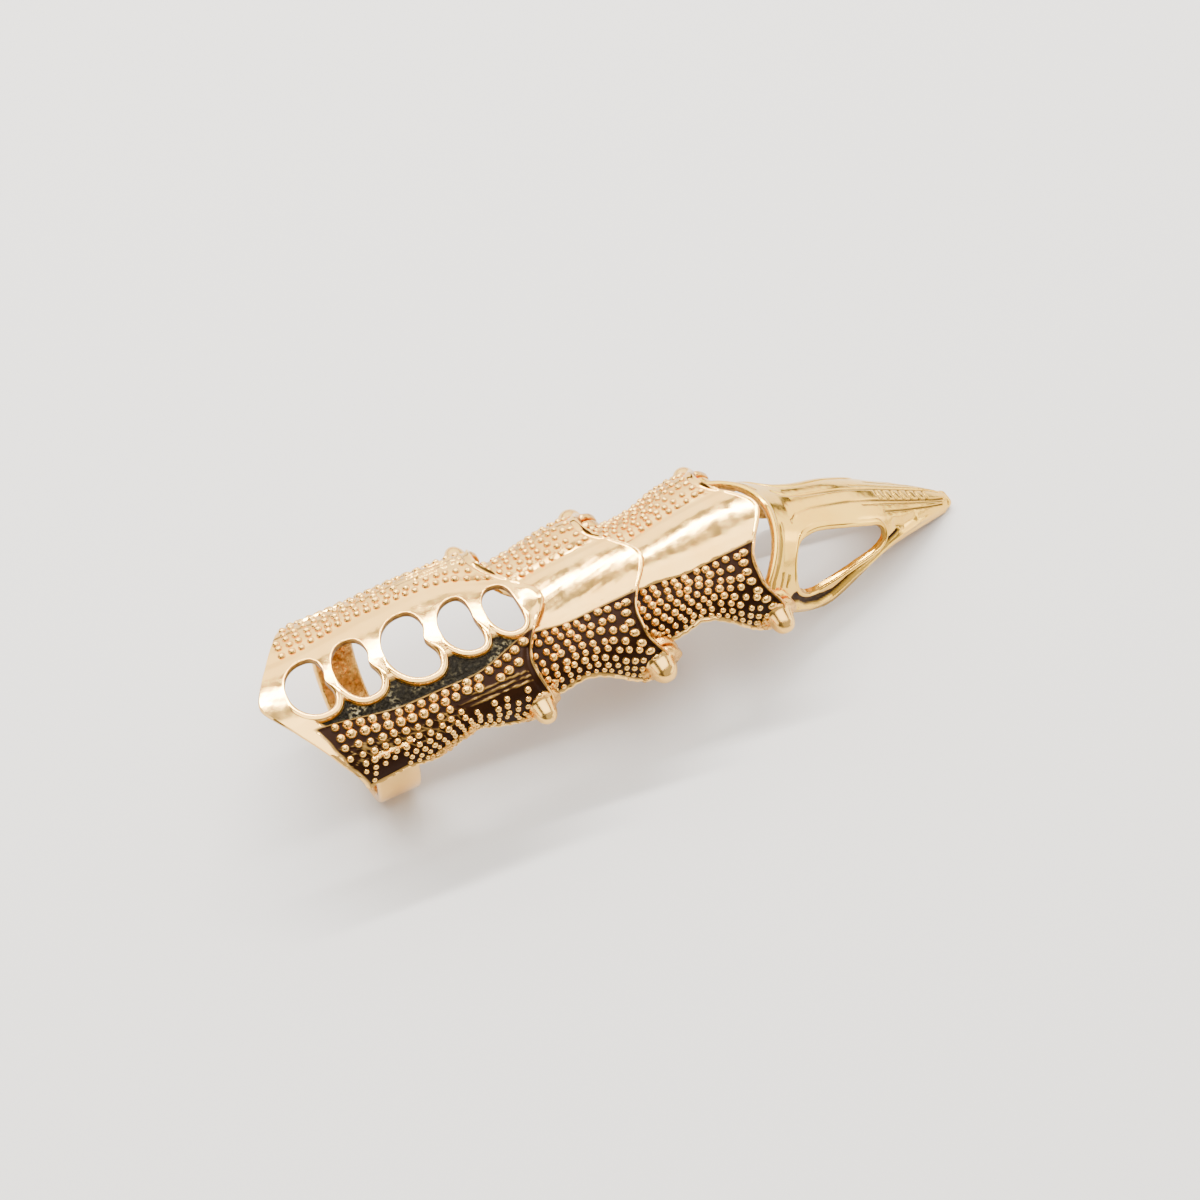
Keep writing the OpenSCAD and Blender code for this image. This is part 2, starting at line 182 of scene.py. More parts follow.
def tongue(y, reach, depth):
    """Front edge with a rounded tongue in the middle, set back by depth at the flanks."""
    blunt, half = 0.5, 7.6
    soft = (np.sqrt(np.asarray(y) ** 2 + blunt) - blunt ** 0.5) / (np.sqrt(half ** 2 + blunt) - blunt ** 0.5)
    return reach - depth * np.sin(np.pi / 2 * np.minimum(soft, 1)) ** 1.35


def smooth_noise(points, size, seed):
    """Soft random bumps of about that size, mostly from -1 to 1, from a few crossing waves."""
    waves, gain = 9, 1.6
    r = np.random.default_rng(seed)
    total = np.zeros(points.shape[:-1])
    for _ in range(waves):
        k = r.normal(size=3)
        k *= 2 * np.pi / size / np.linalg.norm(k) * r.uniform(0.7, 1.4)
        total += np.sin(points @ k + r.uniform(0, 6.3))
    return total / waves * gain


def arch(v, p, inset):
    """Place across an arch p, which is (half width, top, centre's level, power, lower edge's level, half
    width of the middle band, crown). v is 0 on the spine, 1 at the band's border, 2 at the lower edge."""
    half_width, top, centre, m, low, band_half, _ = p
    w, h = half_width - inset, top - centre - inset
    half = band_half * w / half_width
    band = np.arctan2(half, h * (1 - (half / w) ** m) ** (1 / m))
    e = low - centre
    edge = np.arctan2(w * (1 - np.minimum(e / h, 0.95) ** m) ** (1 / m), e)
    a = np.where(np.abs(v) < 1, np.abs(v) * band, mix(band, edge, np.abs(v) - 1))
    r = ((np.abs(np.sin(a)) / w) ** m + (np.abs(np.cos(a)) / h) ** m) ** (-1 / m)
    y = r * np.sin(a)
    return np.sign(v) * y, centre + r * np.cos(a) - crown(y, p)


def crown(y, p):
    """How far the band in the middle falls from its crest to its borders."""
    return p[6] * np.minimum(np.abs(y) / p[5], 1) ** 2


def top_height(x, y, profile):
    """Height of an arch's outer surface over the point x, y."""
    p = profile(x)
    half, top, centre, m = p[:4]
    return centre + (top - centre) * (1 - np.minimum(np.abs(y) / half, 0.999) ** m) ** (1 / m) - crown(y, p)


class Form:
    """An arched shell: its end curves, arch and thickness. lean is how far its front edge runs forward on
    the flanks, droop takes it back at the lower edge, and tuck draws in the back end there."""

    def __init__(self, back, front, profile, inset, lean=0.0, droop=0.0, tuck=0.0):
        self.back, self.front, self.profile, self.inset = back, front, profile, inset
        self.lean, self.droop, self.tuck = lean, droop, tuck

    def run(self, v):
        """How far the front edge runs forward down each flank, towards the hinge."""
        flank = np.abs(v)
        return self.lean * ease(flank, 1.38, 1.75) * (1 - self.droop * ease(flank, 1.8, 2))

    def place(self, u, v, lining=False):
        """Points of the skin, or of its lining, at u from back to front and v across."""
        u, v = np.broadcast_arrays(u, v)
        x0 = mix(self.back(0.0), self.front(0.0), u)
        y = np.abs(arch(v, self.profile(x0), 0)[0])
        x = mix(self.back(y), self.front(y), u) + np.clip(u, 0, 1.1) ** 3 * self.run(v) \
            + np.clip(1 - u, 0, 1.1) ** 4 * self.tuck * ease(np.abs(v), 1.45, 2)
        y, z = arch(v, self.profile(x), self.inset(x) if lining else 0)
        return np.stack([x, y, z], -1)

    def normal(self, u, v):
        step = 0.004
        du = self.place(u + step, v) - self.place(u - step, v)
        dv = self.place(u, v + step) - self.place(u, v - step)
        n = np.cross(du, dv)
        return n / np.linalg.norm(n, axis=-1, keepdims=True)

    def length(self, y, v):
        return self.front(np.abs(y)) - self.back(np.abs(y)) + 2 * self.run(v)


def base_profile(x):
    return [mix(BASE_HALF, EAR_Y, ease(x, -20, -3)),
            SPINE_Z - 0.5 * ease(x, -4, 5),
            9.5 + 0 * x,
            mix(3.1, 4.8, ease(x, -20, -2)),
            lookup(x, BASE_EDGE),
            5.2 + 1.5 * ease(x, -25, -14) - 3.1 * ease(x, -7, 4),
            CROWN * 0.7 + 0 * x]


base_form = Form(
    lambda y: -BASE_BACK + POINT_SLOPE * (np.sqrt(np.asarray(y) ** 2 + 1) - 1),
    lambda y: tongue(y, BASE_TONGUE, BASE_TONGUE_DEPTH), base_profile, lambda x: WALL + 0 * x,
    lean=0.8, droop=0.8, tuck=0.55)


def plate_form(start, end, tops, cutout, powers):
    """A middle plate between two hinges. Its back end is cut out in an arc, then runs out to its ears.
    tops and powers are its arch's at both ends."""
    x0, x1, z1 = start[0], end[0], end[1]
    reach, depth = cutout

    def back(y):
        return x0 + tongue(y, reach, depth) - max(reach - depth + 1, 0) * ease(np.abs(y), 7, 9.5)

    def front(y):
        return x1 + tongue(y, PLATE_TONGUE, PLATE_TONGUE_DEPTH)

    def profile(x):
        return [mix(INNER_Y, EAR_Y, ease(x, x0 + 2.6, x0 + 12)),
                mix(*tops, ease(x, x0 + 1, x1 + PLATE_TONGUE)),
                z1 - 2.6 + 0 * x,
                mix(*powers, ease(x, x0 + 3, x1)),
                lookup(x - x0, PLATE_EDGE),
                mix(BAND_HALF - 0.7, BAND_HALF, ease(x, x0 + 2, x0 + 7)),
                CROWN + 0 * x]
    return Form(back, front, profile, lambda x: WALL + 0 * x, lean=1.9)


plate_2_form = plate_form(HINGE_A, HINGE_B, tops=(SPINE_Z - 1.9, SPINE_Z - 0.7), cutout=(3.5, 3.0),
                          powers=(4.3, 4.0))
plate_3_form = plate_form(HINGE_B, HINGE_C, tops=(SPINE_Z - 2.2, SPINE_Z - 0.6), cutout=(1.3, 4.1),
                          powers=(2.8, 3.5))


def claw_profile(x):
    """The claw's arch at x, from its table smoothed over a short length."""
    w, top, edge, power = (sum(lookup(x + d, CLAW_TABLE, k) for d in (-0.8, 0, 0.8)) / 3 for k in range(1, 5))
    return [w, top, edge - mix(1, 0.2, ease(x, 12, 22)), power, edge, 0.28 * w, 0 * x]


claw_form = Form(
    lambda y: -0.1 - 1.9 * np.minimum(np.abs(y) / 8.5, 1) ** 2.2,
    lambda y: CLAW_LENGTH + 0 * np.asarray(y, float), claw_profile,
    lambda x: mix(WALL, 0.4, ease(x, 22, 31)))


def claw_to_ring(points):
    """From the claw's own frame, where it lies level, to the ring's."""
    x, y, z = points[..., 0], points[..., 1], points[..., 2]
    along, down = math.cos(CLAW_DROP), math.sin(CLAW_DROP)
    return np.stack([HINGE_C[0] + x * along + z * down, y, HINGE_C[1] + z * along - x * down], -1)


# Mesh building

def metres(points):
    p = np.asarray(points, float).reshape(-1, 3)
    return (p + [ORIGIN_X, 0, 0]) * MM


def make_object(name, points, faces, marks=None):
    """A mesh object from points in millimetres. marks are named values from 0 to 1, one for each point."""
    mesh = bpy.data.meshes.new(name)
    mesh.from_pydata(metres(points).tolist(), [], [list(f) for f in faces])
    for key, values in (marks or {}).items():
        attribute = mesh.attributes.new(key, "FLOAT", "POINT")
        attribute.data.foreach_set("value", np.asarray(values, np.float32).ravel())
    mesh.validate()
    obj = bpy.data.objects.new(name, mesh)
    bpy.context.scene.collection.objects.link(obj)
    return obj


def smooth(obj, angle=45):
    """Smooth shading, with edges sharper than the angle kept."""
    mesh = obj.data
    mesh.polygons.foreach_set("use_smooth", [True] * len(mesh.polygons))
    mesh.set_sharp_from_angle(angle=math.radians(angle))
    mesh.update()
    return obj


def grid_faces(n, m, round_n=False, round_m=False):
    """Quads over a grid of n rows of m points, closed round in either direction."""
    i, j = np.meshgrid(np.arange(n if round_n else n - 1), np.arange(m if round_m else m - 1), indexing="ij")
    row, next_row, next_j = i * m, (i + 1) % n * m, (j + 1) % m
    return np.stack([row + j, row + next_j, next_row + next_j, next_row + j], -1).reshape(-1, 4)


def turned(quads):
    """The same quads facing the other way, with the same first corners."""
    return quads[:, [0, 3, 2, 1]]


def circle(sides):
    """Even angles all round."""
    return np.linspace(0, 2 * np.pi, sides, endpoint=False)


def steps_along(line):
    """Length from the start of a line to each of its points."""
    return np.r_[0, np.cumsum(np.linalg.norm(np.diff(line, axis=0), axis=1))]


def closed_shell(name, outer, inner, marks):
    """A closed shell from two grids of points, joined along their four edges."""
    n, m = outer.shape[:2]
    points = np.concatenate([outer.reshape(-1, 3), inner.reshape(-1, 3)])
    faces = [grid_faces(n, m), grid_faces(n, m)[:, ::-1] + n * m]
    ring = np.concatenate([np.arange(m), np.arange(2, n + 1) * m - 1,
                           np.arange(n * m - 2, (n - 1) * m - 1, -1), np.arange(n - 2, 0, -1) * m])
    nxt = np.roll(ring, -1)
    faces.append(np.stack([nxt, ring, ring + n * m, nxt + n * m], -1))
    both = {k: np.concatenate([a.ravel(), b.ravel()]) for k, (a, b) in marks.items()}
    return make_object(name, points, np.concatenate(faces)[:, ::-1], both)


def spread(flank, band):
    """Cross lines of a shell: even steps over each flank and over the band in the middle."""
    return np.concatenate([np.linspace(-2, -1, flank + 1), np.linspace(-1, 1, band + 1)[1:-1],
                           np.linspace(1, 2, flank + 1)])


def polyline_distance(points, line):
    """Distance from each point to a line of points in space."""
    best = np.full(points.shape[:-1], np.inf)
    for a, b in zip(line[:-1], line[1:]):
        d = b - a
        t = np.clip(((points - a) @ d) / (d @ d + 1e-12), 0, 1)
        best = np.minimum(best, np.linalg.norm(points - a - t[..., None] * d, axis=-1))
    return best


def bump(distance, half):
    """A round bump that is 1 on a line and falls to 0 at half from it."""
    return 0.5 + 0.5 * np.cos(np.pi * np.minimum(np.abs(distance) / half, 1))


def rounded_edge(distance, r):
    """How far a surface falls at that distance from its edge, rounded to radius r."""
    d = np.clip(distance, 0, r)
    return r - np.sqrt(np.maximum(r * r - (r - d) ** 2, 0))


def cut(obj, cutters):
    """Cuts closed meshes out of obj."""
    for c in cutters:
        mod = obj.modifiers.new("cut", "BOOLEAN")
        mod.operation = "DIFFERENCE"
        mod.solver = "MANIFOLD"
        mod.object = c
    graph = bpy.context.evaluated_depsgraph_get()
    mesh = bpy.data.meshes.new_from_object(obj.evaluated_get(graph))
    obj.modifiers.clear()
    old = obj.data
    obj.data = mesh
    mesh.name = old.name
    bpy.data.meshes.remove(old)
    for c in cutters:
        bpy.data.objects.remove(c)


def prism(name, outline, low, high, transform=lambda p: p):
    """A closed prism over an outline: rows of (a, b), with its ends at low and high."""
    n = len(outline)
    points = np.concatenate([np.c_[outline, np.full(n, end)] for end in (low, high)])
    faces = [list(range(n - 1, -1, -1)), list(range(n, 2 * n))]
    faces += [[i, (i + 1) % n, n + (i + 1) % n, n + i] for i in range(n)]
    return make_object(name, transform(points), faces)


# Cast beads

def bead_ball(rings=7, sides=12):
    """Points and faces of a ball of radius 1."""
    ball = [(0, 0, 1)]
    for a in np.linspace(0, np.pi, rings)[1:-1]:
        ball += [(math.sin(a) * math.cos(b), math.sin(a) * math.sin(b), math.cos(a)) for b in circle(sides)]
    ball.append((0, 0, -1))
    last, bottom = 1 + (rings - 3) * sides, len(ball) - 1
    faces = [(0, 1 + j, 1 + (j + 1) % sides) for j in range(sides)]
    faces += (1 + turned(grid_faces(rings - 2, sides, round_m=True))).tolist()
    faces += [(last + j, bottom, last + (j + 1) % sides) for j in range(sides)]
    return np.array(ball), faces


def bead_cloud(form, spots, sink):
    """Round cast beads, each a squashed ball set into the surface. spots are rows of (u, v, long, size).
    Beads on the far side are flatter, less sunk and carry less painted shade. Each bead carries painted shade
    at its foot and on its lower side."""
    ball, ball_faces = bead_ball()
    u, v, long, size = np.array(spots).T
    at = form.place(u, v)
    n = form.normal(u, v)
    along = form.place(u + 0.01, v) - at
    along /= np.linalg.norm(along, axis=1, keepdims=True)
    side = np.cross(n, along)
    points, faces, dark = [], [], []
    for k in range(len(at)):
        # near beads carry full painted shade, far ones a third of it
        flat, depth, shade = (0.95, 1, 1.0) if at[k][1] < 0 else (0.9, 0.7, 0.32)
        r = BEAD_R * size[k]
        wobble = 1 + 0.05 * smooth_noise(ball * 2 + k, 2.0, k)
        local = ball * [r * long[k], r, r * flat] * wobble[:, None]
        points.append(at[k] - n[k] * sink * depth + local[:, :1] * along[k] + local[:, 1:2] * side[k]
                      + local[:, 2:] * n[k])
        # painted shade at each bead's foot and on the side that faces down
        low = ball[:, 1] * side[k][2] + ball[:, 2] * n[k][2] * 0.3
        dark.append(np.clip(0.62 - 1.5 * ball[:, 2] - 0.75 * low, 0, 1) * shade)
        faces += [tuple(q + k * len(ball) for q in f) for f in ball_faces]
    return np.concatenate(points), faces, np.concatenate(dark)


def bead_spots(form, near_rows, far_rows, pitches, ends, far_size, keep):
    """Rows of beads along both flanks, each row a (v, size). pitches are the steps near and far, ends the
    bare lengths at the back and front, and keep says whether a bead stands at a place."""
    spots, jitter = [], 0.07
    us = np.linspace(0, 1, 90)
    for side, rows, pitch in ((-1, near_rows, pitches[0]), (1, far_rows, pitches[1])):
        for row, (v, size) in enumerate(rows):
            at = steps_along(form.place(us, side * v))
            apart = pitch * mix(0.78, 1, float(ease(size, 0.6, 0.95)))
            start, stop = ends[0] + row % 2 * apart / 2, at[-1] - ends[1] - row % 2 * apart / 2
            count = int((stop - start) / apart + 0.5) + 1
            for place in np.linspace(start, stop, count) + rng.normal(size=count) * jitter:
                u = float(np.interp(place, at, us))
                w = side * (v + rng.normal() * jitter * 0.12)
                x, y = form.place(u, w)[:2]
                if keep(x, y, place, at[-1] - place, w):
                    long, scale = rng.uniform(0.95, 1.12), rng.uniform(0.9, 1.08)
                    spots.append((u, w, long, scale * (size if side < 0 else far_size)))
    return spots


def grain_spots(areas, count):
    """Small rough grains strewn over patches, given as rows of (u0, u1, v0, v1)."""
    spots = []
    for u0, u1, v0, v1 in areas:
        for _ in range(count):
            u, v = rng.uniform(u0, u1), rng.uniform(v0, v1)
            spots.append((u, v, rng.uniform(0.7, 1.5), rng.uniform(0.35, 0.75)))
    return spots


def bead_object(name, form, spots, grains, sink):
    """One object of all beads and grains. The grains are dull, and lie less deep."""
    points, faces, dark = bead_cloud(form, spots, sink)
    more, more_faces, more_dark = bead_cloud(form, grains, 0.08)
    faces += [tuple(k + len(points) for k in f) for f in more_faces]
    # painted shade of the beads, and less of it on the grains; the grains take the rough lining's colour
    marks = {"dark": np.r_[dark, 0.6 * more_dark], "inside": np.r_[0 * dark, 0 * more_dark + 0.75]}
    return smooth(make_object(name, np.concatenate([points, more]), faces, marks), 80)


# Base plate

def bean(opening, extra, count=72):
    """Outline of an opening, wider by extra, with its dent in front."""
    place, behind, ahead, half, dent = opening
    f = np.arange(count) * 2 * np.pi / count
    y = np.sin(f) * half
    front = ahead * (1 - np.minimum(np.abs(np.sin(f)) ** 3, 1)) ** (1 / 3)
    front = front - dent * np.exp(-(y / (0.3 * half)) ** 2)
    x = np.where(np.cos(f) < 0, behind * np.cos(f), front)
    outline = np.stack([place + x, y], -1)
    step = np.roll(outline, -1, 0) - np.roll(outline, 1, 0)
    out = np.stack([step[:, 1], -step[:, 0]], -1)
    out /= np.linalg.norm(out, axis=1, keepdims=True)
    return outline + extra * out


def opening_distance(x, y):
    """Distance from each point to the nearest opening's outline, seen from above."""
    p = np.stack([x, y, 0 * x], -1)
    best = np.full(x.shape, np.inf)
    for opening in OPENINGS:
        outline = bean(opening, 0)
        loop = np.c_[outline, 0 * outline[:, 0]]
        best = np.minimum(best, polyline_distance(p, np.concatenate([loop, loop[:1]])))
    return best


def base_marks(at, v, to_back, to_front, to_edge):
    """Relief of the base plate: its height, where it carries painted shade, and where it is grainy. The near
    side is richer and carries more painted shade.
    """
    x, y = at[..., 0], at[..., 1]
    flank, near = np.abs(v), ease(-y, -1, 1)
    points = np.stack([x, y, 1.7 * flank], -1)
    margin = mix(mix(0.8, 1.7, near), 0.55, ease(np.abs(y), 5, 10.5)) + 0.12 * smooth_noise(points, 2.0, 23)
    inside = ease(to_back, margin - 0.3, margin + 0.4) * ease(to_front, 0.25, 0.4) * ease(to_edge, 0.3, 0.5)
    field = mix(ease(flank, 1.0, 1.3), ease(flank, 1.0, 1.05), near) * inside
    away = opening_distance(x, y)
    recess = ease(away, 0.74, 0.95) * (1 - ease(flank, 0.98, 1.02)) * ease(-y, 2.6, 3.4) \
        * ease(to_back, 2.5, 3.3) * ease(to_front, 1.5, 2.1)
    height = -mix(0.06, 0.24, near) * field - 0.45 * recess - 0.08 * ease(flank, 0.8, 1) * (1 - field)
    ripple = 1 + 0.6 * np.sin(x * 5.2 + np.sin(x * 1.7))
    height = height + flank_lip(flank, to_front) + 0.09 * ease(0.42 - to_edge, 0, 0.2) * ripple
    ridges = 0 * x
    for level in RIDGES:
        ridges = ridges + bump(np.abs(y) - level, 0.17) * ease(x, -10, -6) * ease(to_front, 0.9, 1.2)
    ridges = ridges * (0.55 + 0.4 * smooth_noise(points, 0.9, 24))
    height = height + 0.3 * ridges + 0.03 * ease(margin - to_back, 0, 0.4) * ease(flank, 1.1, 1.4) \
        * smooth_noise(points * [1, 1, 0.4], 0.7, 25)
    messy = near * ease(flank, 1.3, 1.4) * (1 - ease(flank, 1.6, 1.7)) \
        * ease(x, -25, -23) * (1 - ease(x, -11, -8))
    webs = 1 - np.clip(np.abs(smooth_noise(points, 0.82, 21)) / 0.3, 0, 1)
    height = height + 0.15 * messy * webs
    height = height + 0.2 * ease(x, 2.6, 4.4) * (1 - ease(np.abs(y), 1.2, 3.4)) * ease(to_front, 0.2, 0.9)
    # painted shade: a line along the near side's field border, and more between the beads towards the lower
    # edge, kept off the ridges and webs
    shine = np.clip(0.85 * ridges + 0.42 * messy * webs ** 2, 0, 1)
    border = near * ease(flank, 0.985, 1.01) * inside
    dark = np.maximum(border * (1 - 0.85 * shine), (0.2 + 0.4 * ease(flank, 1.4, 1.75)) * field)
    boss = rivet_boss(at, HINGE_A, "a")
    # the recess carries full painted shade, and none lies on the swelling round the rivet
    return height + 0.4 * boss, np.maximum(dark, recess) * (1 - ease(boss, 0.25, 0.75)), recess


def rivet_boss(at, hinge, letter):
    """The swelling of the skin round a rivet's head."""
    shift, radius, _ = RIVET_HEADS[letter]
    r = np.hypot(at[..., 0] - hinge[0] - shift, at[..., 2] - hinge[1])
    return bump(r, radius + 1.3) * ease(np.abs(at[..., 1]), 9, 10)


def flank_lip(flank, to_front):
    """A thin raised lip along the front edge, with a hollow behind it on the flanks."""
    side = ease(flank, 0.95, 1.15)
    return side * (0.2 * (1 - ease(to_front, 0.22, 0.42)) - 0.16 * bump(to_front - 0.85, 0.5)) \
        + (1 - side) * 0.08 * bump(to_front - 0.32, 0.3)


def shell_mesh(name, form, lines, vs, marks, seed):
    """The relief and the rough lining of a shell, closed. lines is how many lines go across it."""
    u = np.linspace(0, 1, lines)[:, None] + 0 * vs[None]
    v = vs[None] + 0 * u
    outer = form.place(u, v)
    n = np.cross(np.gradient(outer, axis=0), np.gradient(outer, axis=1))
    n /= np.linalg.norm(n, axis=-1, keepdims=True) + 1e-12
    long = form.length(outer[..., 1], v)
    to_back, to_front = u * long, (1 - u) * long
    steps = np.linalg.norm(np.diff(outer, axis=1), axis=-1)
    arc = np.concatenate([np.zeros((lines, 1)), np.cumsum(steps, 1)], 1)
    to_edge = np.minimum(arc, arc[:, -1:] - arc)
    height, dark, grain = marks(outer, v, to_back, to_front, to_edge)
    edge = np.minimum(np.minimum(to_back, to_front), to_edge)
    height = height - rounded_edge(edge, 0.22)
    height = height + 0.008 * smooth_noise(outer, 3.2, seed) + 0.004 * smooth_noise(outer, 0.9, seed + 7)
    skin = outer + n * height[..., None]
    inner = form.place(u, v, True)
    inner = inner + n * (rounded_edge(edge, 0.25) + 0.05 * smooth_noise(inner, 1.1, seed + 1))[..., None]
    zero, one = 0 * u, 0 * u + 1
    # the painted shade of the relief, and an even painted shade on the lining underneath
    values = {"dark": (dark, 0.25 * one), "grain": (grain, zero), "inside": (zero, one)}
    return closed_shell(name, skin, inner, values)


def opening_rims(name):
    """The polished edge of each opening: broad on the near side, flush with the plate, round at the wall."""
    n, m = 120, len(RIM_SECTION)
    points, faces = [], []
    for opening in OPENINGS:
        near = ease(-bean(opening, 0, n)[:, 1], 0.0, 2.2)
        section = []
        for near_out, far_out, near_lift, far_lift, _ in RIM_SECTION:
            xy = bean(opening, mix(far_out, near_out, near)[:, None], n)
            z = top_height(xy[:, 0], xy[:, 1], base_profile)
            section.append(np.c_[xy, z + mix(far_lift, near_lift, near)])
        faces.append(turned(grid_faces(n, m, True, True)) + len(points) * n * m)
        points.append(np.stack(section, 1).reshape(-1, 3))
    # painted shade on the walls inside the openings, which also take the rough lining's colour
    shade = np.tile([row[4] for row in RIM_SECTION], len(OPENINGS) * n)
    values = {"dark": 0.6 * shade, "inside": shade}
    return make_object(name, np.concatenate(points), np.concatenate(faces), values)


def disc_ring(x, y, z, r, thick):
    """Points and faces of a disc across the finger with soft, slightly uneven edges, pierced by its bore."""
    t, e, sides = thick / 2, 0.18, 64
    rough = np.random.default_rng(int(97 * abs(x) + 13 * r + 5 * (y > 0))).uniform(-1, 1, 8)
    profile = [(BORE_R, -t), (r - e, -t), (r - 0.05, -t + 0.07), (r, -t + e),
               (r, t - e), (r - 0.05, t - 0.07), (r - e, t), (BORE_R, t)]
    a = circle(sides)
    uneven = 1 + 0.02 * sum(w * np.sin((k + 3) * a + 2 * k) for k, w in enumerate(rough))
    points = [(x + q * g * math.cos(b), y + d, z + q * g * math.sin(b))
              for b, g in zip(a, uneven) for q, d in profile]
    return np.array(points), grid_faces(sides, len(profile), True, True)


def ear_pair(hinge, y, r, thick):
    """The two ears on a hinge, with their middles at the distance y to either side."""
    return [disc_ring(hinge[0], side * y, hinge[1], r, thick) for side in (-1, 1)]


def outer_ears(hinge):
    """The ears of the piece behind a hinge. Its skin lies over them on the outside."""
    thick = EAR_T - EAR_SKIN
    return ear_pair(hinge, EAR_Y - EAR_T + thick / 2, OUTER_EAR_R, thick)


def inner_ears(hinge, r):
    """The ears of the piece in front of a hinge."""
    return ear_pair(hinge, INNER_Y - EAR_T / 2, r, EAR_T)


def join_parts(name, parts, **marks):
    """One object from several (points, faces) pairs. Each mark is one value, or one for each point."""
    points, faces, count = [], [], 0
    for p, f in parts:
        points.append(p.reshape(-1, 3))
        faces.append(f + count)
        count += len(points[-1])
    marks = {key: np.broadcast_to(values, count) for key, values in marks.items()}
    return make_object(name, np.concatenate(points), np.concatenate(faces), marks)


def loop_line(half, depth):
    """A line round the finger loop, as (across, height): straight above, round below, level at the foot."""
    power, straight = 2.5, 3
    f = np.radians(np.linspace(90, -90, 49))
    r = ((np.abs(np.sin(f)) / half) ** power + (np.abs(np.cos(f)) / depth) ** power) ** (-1 / power)
    bow = np.c_[r * np.sin(f), np.maximum(LOOP_RISE - r * np.cos(f), 0)]
    wall = np.array([[half, LOOP_TOP], [half, LOOP_TOP - straight]])
    return np.concatenate([wall, bow, wall[::-1] * [-1, 1]])


def band_section():
    """Section of the loop's band, a rounded bar: place across it, share of its thickness."""
    half, soft, edge = LOOP_WIDTH / 2, 0.35, 0.1
    section = [(-half, 0.5), (-half + edge, 0.15), (-half + soft, 0), (0, 0), (half - soft, 0),
               (half - edge, 0.15), (half, 0.5), (half - edge, 0.85)]
    return section + [(dx, 1) for dx in np.linspace(half - soft, -half + soft, 15)] + [(-half + edge, 0.85)]


def finger_loop(name):
    """The flat band under the base plate, on its flattened foot, rough on the finger's side."""
    outer = loop_line(LOOP_HALF, LOOP_RISE + FOOT_CUT)
    inner = loop_line(LOOP_HALF - LOOP_WALL, LOOP_RISE - LOOP_WALL)
    at = steps_along(outer)
    steps = np.linspace(0, at[-1], 190)
    outer, inner = [np.c_[np.interp(steps, at, line[:, 0]), np.interp(steps, at, line[:, 1])]
                    for line in (outer, inner)]
    section = band_section()
    n, m = len(steps), len(section)
    ring = np.stack([np.c_[np.full(n, LOOP_X + dx), mix(outer, inner, share)] for dx, share in section], 1)
    inside = np.tile([float(share == 1) for _, share in section], (n, 1))
    towards = np.c_[np.zeros(n), inner - outer]
    towards /= np.linalg.norm(towards, axis=1, keepdims=True)
    rough = 0.07 * smooth_noise(ring, 0.9, 61) + 0.05 * smooth_noise(ring, 0.45, 62) - 0.06
    ring += (rough * inside)[..., None] * towards[:, None]
    faces = grid_faces(n, m, round_m=True).tolist() + [range(m), range(n * m - 1, (n - 1) * m - 1, -1)]
    return make_object(name, ring, faces, {"inside": inside})


def base_keep(x, y, to_back, to_front, v):
    """Whether a bead stands at a place on the base plate. Its borders, its ridges and the back of the near
    side's lower edge have none, and some are left out in front on that side."""
    bare = v < -1.73 and x < -16.8 and to_back > 1.9
    ridged = 8.4 < abs(y) < 10.1 and x > -9.5
    sparse = y < 0 and x > -9 and abs(y) > 10.1 and rng.uniform() < 0.2
    margin = mix(2.2, 1.0, float(ease(-y, 5.5, 10))) if y < 0 else 0.7
    return to_back > margin and to_front > 1.2 and not bare and not ridged and not sparse


def build_base():
    """The pierced plate, its rims, the finger loop, the beads and the ears of the first hinge."""
    shell = shell_mesh("base_plate", base_form, 176, spread(52, 62), base_marks, 11)
    cut(shell, [prism("opening", bean(opening, 0.14), HINGE_A[1], HINGE_A[1] + 8) for opening in OPENINGS])
    smooth(shell)
    rims = smooth(opening_rims("base_rims"), 60)
    loop = smooth(finger_loop("finger_loop"), 60)
    spots = bead_spots(base_form, BASE_NEAR_ROWS, BASE_FAR_ROWS, pitches=(1.38, 1.26), ends=(0.75, 1.6),
                       far_size=0.95, keep=base_keep)
    beads = bead_object("base_beads", base_form, spots, grain_spots(BASE_GRAINS, 22), 0.18)
    ears = smooth(join_parts("base_ears", outer_ears(HINGE_A), inside=0.7), 35)
    return [shell, rims, loop, beads, ears]


# Middle plates

def plate_marks(at, v, to_back, to_front, to_edge, hinge, letter):
    """Relief of a middle plate: its height, where it carries painted shade, and where it is grainy. The far
    flank is flatter.
    """
    x, y = at[..., 0], at[..., 1]
    flank, near = np.abs(v), ease(-y, -1, 1)
    inside = ease(to_back, 0.2, 0.5) * ease(to_front, mix(0.9, 0.25, near), mix(1.1, 0.4, near)) \
        * ease(to_edge, 0.5, 0.72)
    field = mix(ease(flank, 1.0, 1.3), ease(flank, 1.0, 1.05), near) * inside
    height = -mix(0.08, 0.26, near) * field - 0.1 * ease(flank, 0.82, 1) * (1 - field)
    ripple = 1 + 0.5 * np.sin(x * 4.9 + np.sin(x * 1.6))
    height = height + flank_lip(flank, to_front) + 0.13 * ease(0.6 - to_edge, 0, 0.25) * ripple
    # painted shade: a line along the near field border, and more between the beads towards the lower edge;
    # none on the rivet's swelling
    border = near * ease(flank, 0.99, 1.01) * inside
    height = height + 0.08 * near * inside * bump(flank - 0.94 - 0.02 * smooth_noise(at, 1.3, 31), 0.1)
    dark = np.maximum(border, (0.2 + 0.4 * ease(flank, 1.4, 1.75)) * field)
    boss = rivet_boss(at, hinge, letter)
    return height + 0.4 * boss, dark * (1 - ease(boss, 0.25, 0.75)), 0 * x


